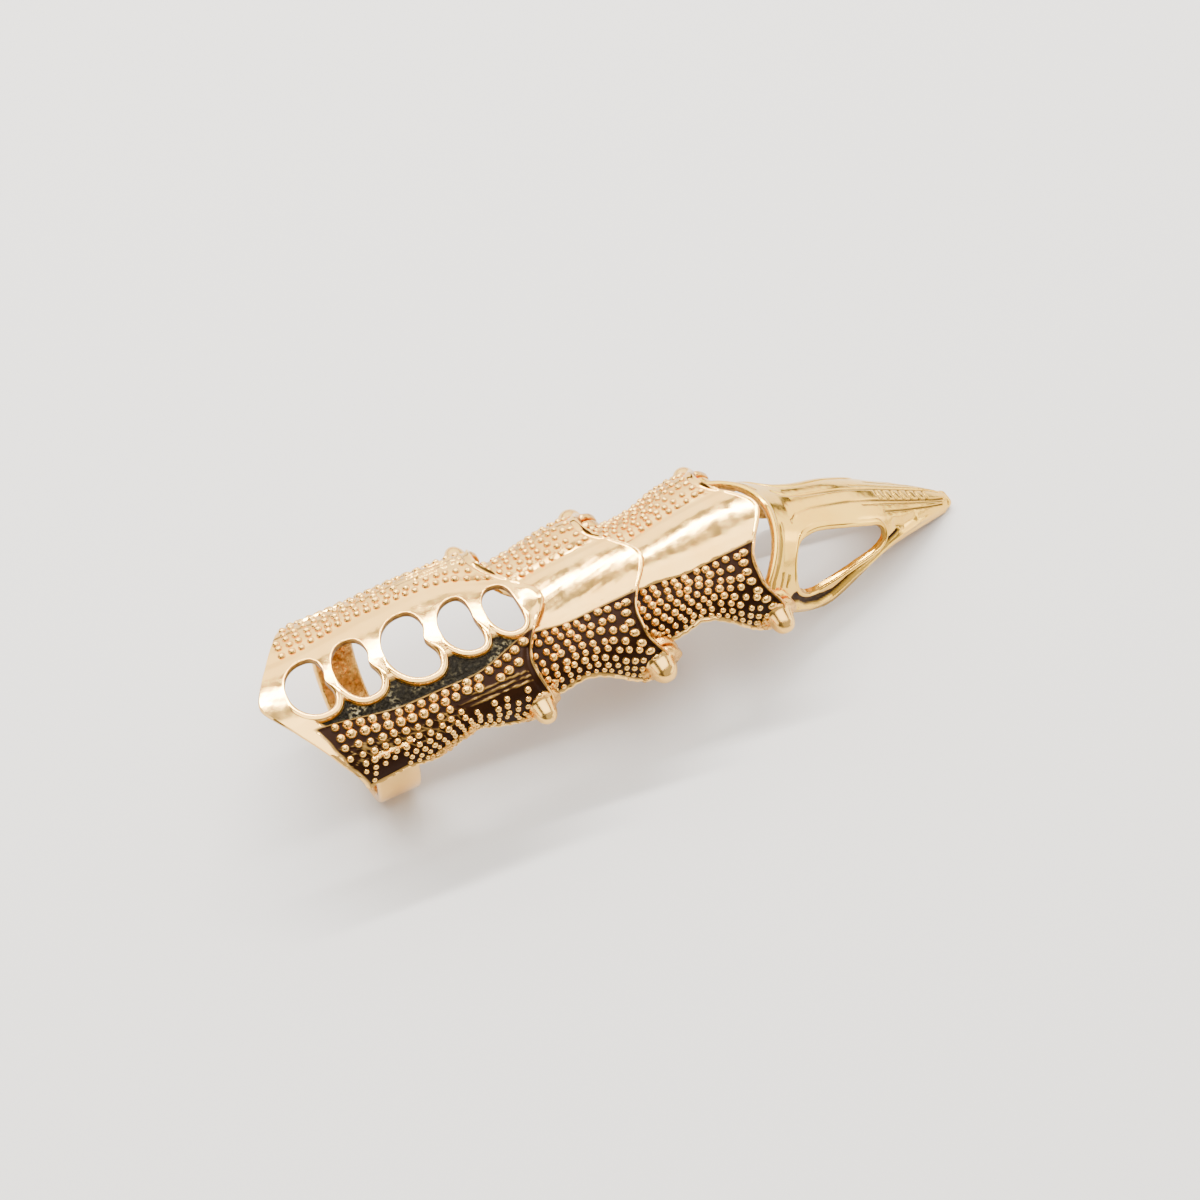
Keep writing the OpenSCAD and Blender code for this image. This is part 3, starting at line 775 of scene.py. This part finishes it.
def oval_beads(form):
    """Spots of the longer beads that stand close behind the front edge."""
    spots, to_front = [], 1.5
    us = np.linspace(0.6, 1, 60)
    for side, size in ((-1, 1.02), (1, 0.8)):
        for v in np.linspace(1.08, 1.78, 8):
            ahead = steps_along(form.place(us, side * v)[::-1])
            spots.append((float(np.interp(to_front, ahead, us[::-1])), side * v, 1.3, size))
    return spots


def build_plate(name, form, start, end, letter, inner_r, seed):
    """A middle plate with its beads and its four ears. letter is the one of the hinge at its end."""
    shell = shell_mesh(f"{name}_shell", form, 112, spread(54, 60),
                       lambda *place: plate_marks(*place, end, letter), seed)
    smooth(shell)
    spots = bead_spots(form, PLATE_NEAR_ROWS, PLATE_FAR_ROWS, pitches=(1.27, 1.28), ends=(0.65, 2.5),
                       far_size=0.9, keep=lambda *place: True)
    spots += oval_beads(form)
    beads = bead_object(f"{name}_beads", form, spots, grain_spots(PLATE_GRAINS, 30), 0.2)
    ears = join_parts(f"{name}_ears", inner_ears(start, inner_r) + outer_ears(end), inside=0.7)
    return [shell, beads, smooth(ears, 35)]


# Claw

def claw_line(spots, side):
    """Points on the claw's top from rows of (x, distance from the middle)."""
    x, y = np.array(spots, float).T
    return np.stack([x, side * y, top_height(x, y, claw_profile)], -1)


def claw_flank(x, z, most):
    """Half width of the claw at a height z, and its outward normal as (across, up)."""
    w, top, centre, m = claw_profile(x)[:4]
    t = np.clip((z - centre) / (top - centre), 0.0, most)
    y = w * (1 - t ** m) ** (1 / m)
    across, up = (y / w) ** (m - 1) / w, t ** (m - 1) / (top - centre)
    size = np.hypot(across, up)
    return y, across / size, up / size


def claw_side_line(spots, side):
    """Points on the claw's side from rows of (x, height)."""
    x, z = np.array(spots, float).T
    return np.stack([x, side * claw_flank(x, z, 0.999)[0], z], -1)


def claw_side_marks(at, side, height, dark):
    """Adds the lines of one side of the claw to its height, and their painted shade, in grooves, channel,
    strip and slits, to the painted shade it is given.
    """
    x = at[..., 0]
    top, shoulder, strip = [polyline_distance(at, claw_line(line, side))
                            for line in (TOP_GROOVE, SHOULDER_GROOVE, STRIP)]
    rail, channel, recess, *slits = [polyline_distance(at, claw_side_line(line, side))
                                     for line in (RAIL, CHANNEL, RECESS, *SLITS)]
    wide = mix(0.95, 0.45, ease(x, 9, 14))
    height = height - mix(0.10, 0.26, ease(x, 8, 22)) * bump(top, 0.28) - 0.12 * bump(shoulder, 0.18) \
        + 0.3 * bump(rail, 0.5) * ease(30 - x, 0, 8) - 0.38 * (1 - ease(channel, 0.4 * wide, wide)) \
        - 0.28 * bump(recess, 0.95) - 0.16 * bump(strip, 0.2)
    # painted shade in the grooves, the channel, the strip and the slits
    shades = [dark, 0.92 * bump(top, 0.24) * ease(x, 3, 12), 0.8 * bump(shoulder, 0.17),
              0.93 * (1 - ease(channel, 0.62 * wide, 0.95 * wide)), 0.92 * bump(strip, 0.2)]
    for slit in slits:
        height = height - 0.22 * bump(slit, 0.2)
        shades.append(bump(slit, 0.16))
    return height, np.max(shades, axis=0)


def claw_marks(at, v, to_back, *_):
    """Relief of the claw: lines on both sides, notches near the tip, and a double rim round its back end,
    with painted shade in their hollows and under the rails.
    """
    x, y, z = at[..., 0], at[..., 1], at[..., 2]
    height, dark = 0 * x, 0 * x
    for side in (-1, 1):
        height, dark = claw_side_marks(at, side, height, dark)
    # painted shade under each rail
    below = ease(lookup(x, RAIL) - 0.45 - z, 0, 0.5) * ease(np.abs(y), 0.5, 1.0) * (1 - ease(x, 15, 20))
    dark = np.maximum(dark, 0.55 * below)
    ridge = (1 - ease(np.abs(y), 0.75, 0.95)) * (z > claw_profile(x)[2])
    for place in NOTCHES:
        notch = bump(x - place - 0.25 * np.abs(y), 0.32) * ridge
        height = height - 0.26 * notch
        # painted shade in the notches
        dark = np.maximum(dark, 0.95 * notch)
    flank = ease(np.abs(v), 0.9, 1.1)
    height = height + 0.14 * bump(to_back - 0.4, 0.42) - 0.12 * flank * bump(to_back - 0.95, 0.2)
    height = height + 0.08 * flank * bump(to_back - 1.35, 0.3)
    # painted shade in the groove of the back rim
    dark = np.maximum(dark, 0.6 * flank * bump(to_back - 0.95, 0.17))
    return height, np.clip(dark, 0, 1), 0 * x


def window_path(extra):
    """The window's outline as a smooth closed path of (x, height), wider by extra."""
    closed = np.array(WINDOW + WINDOW[:1], float)
    at = steps_along(closed)
    t = np.linspace(0, at[-1], 160, endpoint=False)
    path = np.c_[np.interp(t, at, closed[:, 0]), np.interp(t, at, closed[:, 1])]
    for _ in range(10):
        path = 0.5 * path + 0.25 * (np.roll(path, 1, 0) + np.roll(path, -1, 0))
    step = np.roll(path, -1, 0) - np.roll(path, 1, 0)
    out = np.c_[-step[:, 1], step[:, 0]]
    out /= np.linalg.norm(out, axis=1, keepdims=True)
    return path + extra * out


def window_rims(name):
    """A rolled rim round each window, on the surface, running in through the wall."""
    parts = []
    for side in (-1, 1):
        section = []
        for extra, lift, _ in WINDOW_SECTION:
            x, z = window_path(extra).T
            y, across, up = claw_flank(x, z, 0.985)
            section.append(np.c_[x, side * (y + lift * across), z + lift * up])
        ring = np.stack(section, 1)
        quads = turned(grid_faces(*ring.shape[:2], True, True))
        parts.append((claw_to_ring(ring), quads if side > 0 else quads[:, ::-1]))
    # painted shade on the walls inside the windows
    shade = np.tile([row[2] for row in WINDOW_SECTION], 2 * len(ring))
    return join_parts(name, parts, inside=0.0, dark=shade)


def claw_tip(name):
    """The blunt end of the claw, which touches the floor: a ball drawn out sideways."""
    height = (TIP_R - HINGE_C[1] + CLAW_LENGTH * math.sin(CLAW_DROP)) / math.cos(CLAW_DROP)
    a, b = np.meshgrid(np.linspace(0, np.pi, 25), circle(32), indexing="ij")
    across = TIP_R * np.cos(a) + TIP_HALF * np.sign(np.round(np.cos(a), 6))
    ball = np.stack([TIP_R * np.sin(a) * np.cos(b), across, TIP_R * np.sin(a) * np.sin(b)], -1)
    points = claw_to_ring(ball + [CLAW_LENGTH, 0, height])
    return make_object(name, points, grid_faces(*a.shape, round_m=True))


def build_claw():
    """The claw's windowed shell, with the rims of its windows, its tip and its ears."""
    shell = shell_mesh("claw_shell", claw_form, 190, spread(62, 40), claw_marks, 5)
    # the cutter goes straight through both sides
    cutter = prism("window", window_path(0.06), -3 * EAR_Y, 3 * EAR_Y,
                   lambda p: np.stack([p[:, 0], p[:, 2], p[:, 1]], -1))
    cut(shell, [cutter])
    level = np.array([v.co for v in shell.data.vertices]) / MM - [ORIGIN_X, 0, 0]
    shell.data.vertices.foreach_set("co", metres(claw_to_ring(level)).ravel())
    smooth(shell)
    rims = smooth(window_rims("claw_window_rims"), 60)
    tip = smooth(claw_tip("claw_tip"), 60)
    ears = smooth(join_parts("claw_ears", inner_ears(HINGE_C, INNER_EAR_R), inside=0.0), 35)
    return [shell, rims, tip, ears]


# Rivets

def build_rivet(name, letter, hinge, side, number):
    """A domed head a little behind the hinge, a shank through both ears and a closed end inside. number
    makes each head a little different."""
    shift, radius, square = RIVET_HEADS[letter]
    sides, dome_y = 64, 12.2
    a = circle(sides)
    points = []
    for r, d in RIVET_SHANK + [(radius * share, d) for share, d in RIVET_HEAD]:
        power = mix(2, square, float(ease(d, 11.15, 12.0) * (1 - ease(d, 13.3, 13.8))))
        ring = r * (np.abs(np.cos(a)) ** power + np.abs(np.sin(a)) ** power) ** (-1 / power)
        behind = shift * (len(points) >= len(RIVET_SHANK))
        points.append(np.stack([ring * np.cos(a) + behind, 0 * a + d, ring * np.sin(a)], -1))
    rows = len(points)
    points = np.concatenate(points)
    out = points - [shift, dome_y, 0]
    out /= np.linalg.norm(out, axis=1, keepdims=True) + 1e-9
    worn = ease(points[:, 1], 11.5, dome_y) * (0.09 + 0.06 * smooth_noise(points, 2.4, 40 + number))
    points = (points - out * worn[:, None]) * [1, side, 1] + [hinge[0], 0, hinge[1]]
    faces = grid_faces(rows, sides, round_m=True)
    return smooth(make_object(name + "_dome", points, faces[:, ::-1] if side > 0 else faces), 50)


# Materials

class Shading:
    """A new material, with short ways to build the nodes round its shader."""

    def __init__(self, name, coordinates):
        self.material = bpy.data.materials.new(name)
        self.material.use_nodes = True
        self.nodes, self.links = self.material.node_tree.nodes, self.material.node_tree.links
        self.shader = self.nodes["Principled BSDF"]
        self.place = self.nodes.new("ShaderNodeTexCoord").outputs[coordinates]

    def feed(self, socket, value):
        """Sets a socket to a number or a colour, or links it to another node."""
        if isinstance(value, bpy.types.NodeSocket):
            self.links.new(value, socket)
        else:
            socket.default_value = value

    def attribute(self, key):
        n = self.nodes.new("ShaderNodeAttribute")
        n.attribute_name = key
        return n.outputs["Fac"]

    def noise(self, scale, detail):
        n = self.nodes.new("ShaderNodeTexNoise")
        for key, value in (("Scale", scale), ("Detail", detail), ("Vector", self.place)):
            self.feed(n.inputs[key], value)
        return n.outputs["Fac"]

    def ramp(self, source, low, high, start=0.0, stop=1.0):
        """From low to high as the source goes from start to stop."""
        n = self.nodes.new("ShaderNodeMapRange")
        for key, value in (("Value", source), ("From Min", start), ("From Max", stop), ("To Min", low),
                           ("To Max", high)):
            self.feed(n.inputs[key], value)
        return n.outputs["Result"]

    def blend(self, share, a, b):
        n = self.nodes.new("ShaderNodeMix")
        n.data_type = "RGBA"
        for key, kind, value in (("Factor", "VALUE", share), ("A", "RGBA", a), ("B", "RGBA", b)):
            self.feed([i for i in n.inputs if i.name == key and i.type == kind][0], value)
        return [o for o in n.outputs if o.type == "RGBA"][0]

    def arithmetic(self, operation, a, b):
        n = self.nodes.new("ShaderNodeMath")
        n.operation = operation
        self.feed(n.inputs[0], a)
        self.feed(n.inputs[1], b)
        return n.outputs[0]

    def add(self, a, b):
        return self.arithmetic("ADD", a, b)

    def times(self, a, b):
        return self.arithmetic("MULTIPLY", a, b)


def rose_gold(name, roughness, blue):
    """Polished light rose gold, with painted shade in deep brown where it lies deep and on lower sides,
    painted glints on its grains, and fine casting marks.
    """
    s = Shading(name, "Object")
    # mark is the painted shade of each point, from the relief, the rims and the beads
    inside, grain, mark = s.attribute("inside"), s.attribute("grain"), s.attribute("dark")
    cloudy = s.ramp(s.noise(260, 3), 0, 1, 0.35, 0.65)
    gold = s.blend(cloudy, (1.0, 0.61, blue, 1), (0.98, 0.56, 0.8 * blue, 1))
    lining = s.blend(s.ramp(s.noise(1900, 4), 0, 1, 0.3, 0.72), LINING_BRIGHT, LINING_DULL)
    # painted glints: random paler patches on the grains
    patches = s.times(s.ramp(s.noise(2500, 3), 0, 1, 0.48, 0.66), s.ramp(s.noise(330, 1), 0.05, 1, 0.47, 0.6))
    # colour of the painted shade, with painted glints where the grains lie
    deep = s.blend(grain, PAINTED_SHADE_BROWN, s.blend(patches, GRAIN_PAINTED_SHADE, GRAIN_PAINTED_GLINT))
    # how strong the painted shade is, a little uneven
    dark = s.times(mark, s.ramp(s.noise(1100, 2), 1.04, 1.1, 0.3, 0.7))
    s.feed(s.shader.inputs["Base Color"], s.blend(dark, s.blend(inside, gold, lining), deep))
    # painted shade is hardly metallic
    s.feed(s.shader.inputs["Metallic"], s.add(s.ramp(dark, 1.0, 0.05), s.times(grain, 0.22)))
    s.shader.inputs["Specular IOR Level"].default_value = 0.06
    rough = s.add(s.ramp(s.noise(700, 4), roughness - 0.05, roughness + 0.06, 0.3, 0.7), s.times(mark, 0.22))
    s.feed(s.shader.inputs["Roughness"], s.add(rough, s.times(inside, 0.18)))
    pits = s.times(s.noise(3000, 2), s.add(s.times(grain, 2.2), inside))
    fine = s.add(s.times(s.noise(1800, 3), 0.012), s.times(s.noise(480, 2), 0.04))
    relief = s.nodes.new("ShaderNodeBump")
    for key, value in (("Strength", 1.0), ("Distance", 0.0001), ("Height", s.add(fine, pits))):
        s.feed(relief.inputs[key], value)
    s.feed(s.shader.inputs["Normal"], relief.outputs["Normal"])
    return s.material


def floor_material():
    """A plain pale floor, a little uneven in its roughness."""
    s = Shading("pale_floor", "Generated")
    s.feed(s.shader.inputs["Roughness"], s.ramp(s.noise(60, 2), 0.52, 0.6))
    s.shader.inputs["Base Color"].default_value = (0.78, 0.77, 0.75, 1)
    return s.material


def assign(objects, material):
    for obj in objects:
        obj.data.materials.clear()
        obj.data.materials.append(material)


# The ring

cast_gold = rose_gold("cast_rose_gold", 0.11, 0.17)
claw_gold = rose_gold("claw_rose_gold", 0.15, 0.1)
rivet_gold = rose_gold("rivet_rose_gold", 0.22, 0.16)

pieces = {
    "base": build_base(),
    "plate_2": build_plate("plate_2", plate_2_form, HINGE_A, HINGE_B, "b", INNER_EAR_A_R, 7),
    "plate_3": build_plate("plate_3", plate_3_form, HINGE_B, HINGE_C, "c", INNER_EAR_R, 22),
    "claw": build_claw()}
for node, objects in pieces.items():
    body = node + "_body"
    assign(objects, claw_gold if node == "claw" else cast_gold)
    for obj in objects:
        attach(obj, body)
        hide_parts(node)

rivets = (("a", HINGE_A, "base_body"), ("b", HINGE_B, "plate_2_body"), ("c", HINGE_C, "plate_3_body"))
for number, (letter, hinge, body) in enumerate(rivets):
    for word, side in (("near", -1), ("far", 1)):
        node = f"rivet_{letter}_{word}"
        obj = build_rivet(node, letter, hinge, side, 2 * number + (side > 0))
        assign([obj], rivet_gold)
        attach(obj, body)
        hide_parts(node)

# Floor, light and camera

bpy.ops.mesh.primitive_circle_add(vertices=96, radius=2.5, fill_type="NGON", location=(0, 0, 0))
floor = bpy.context.object
floor.name = "floor"
assign([floor], floor_material())


def softbox(name, place, size, power):
    """A rectangular soft light that faces the ring."""
    target = Vector((0, 0, 0.01))
    data = bpy.data.lights.new(name, "AREA")
    data.shape = "RECTANGLE"
    data.size, data.size_y = size
    data.energy = power
    data.color = (1, 0.97, 0.93)
    obj = bpy.data.objects.new(name, data)
    obj.location = place
    obj.rotation_euler = (target - obj.location).to_track_quat("-Z", "Y").to_euler()
    bpy.context.scene.collection.objects.link(obj)


softbox("back_panel", (0.05, 0.75, 0.40), (1.8, 0.62), 11)
softbox("streak", (0.05, 0.47, 0.70), (1.0, 0.035), 12.0)
softbox("overhead", (0.0, 0.0, 0.90), (1.1, 0.74), 12.5)
softbox("front_panel", (0.95, 0.15, 0.42), (0.9, 0.6), 5.5)
softbox("side_left", (-0.9, -0.1, 0.35), (0.3, 0.5), 1.5)
softbox("low_right", (0.78, -0.44, 0.17), (0.8, 0.26), 1.9)
softbox("sky", (0.05, 0.80, 1.05), (1.9, 1.0), 4.0)
softbox("behind_camera", (0.25, -0.85, 0.62), (2.0, 1.2), 5.0)

world = bpy.data.worlds.new("studio")
world.use_nodes = True
sky_light = world.node_tree.nodes["Background"].inputs
sky_light["Color"].default_value = (0.30, 0.27, 0.25, 1)
sky_light["Strength"].default_value = 0.45
bpy.context.scene.world = world

# the camera, found from the photograph: it looks down at the ring from its near side
ELEVATION = math.radians(55.0)
TURN = math.radians(27.31)
DISTANCE = 251.16
LOOK_AT = (16.372, 6.757, 0.0)
FOCAL_SHARE = 2000 / 1200
SENSOR = 36
level = math.cos(ELEVATION)
forward = Vector((level * math.sin(TURN), level * math.cos(TURN), -math.sin(ELEVATION)))
right = Vector((math.cos(TURN), -math.sin(TURN), 0))
up = right.cross(forward)
eye = Vector((LOOK_AT[0] + ORIGIN_X, *LOOK_AT[1:])) * MM - forward * DISTANCE * MM
optics = bpy.data.cameras.new("camera")
optics.sensor_fit = "HORIZONTAL"
optics.sensor_width = SENSOR
optics.lens = FOCAL_SHARE * SENSOR
optics.clip_start = 0.01
optics.clip_end = 20
camera = bpy.data.objects.new("camera", optics)
camera.matrix_world = Matrix.Translation(eye) @ Matrix((right, up, -forward)).transposed().to_4x4()
bpy.context.scene.collection.objects.link(camera)
bpy.context.scene.camera = camera
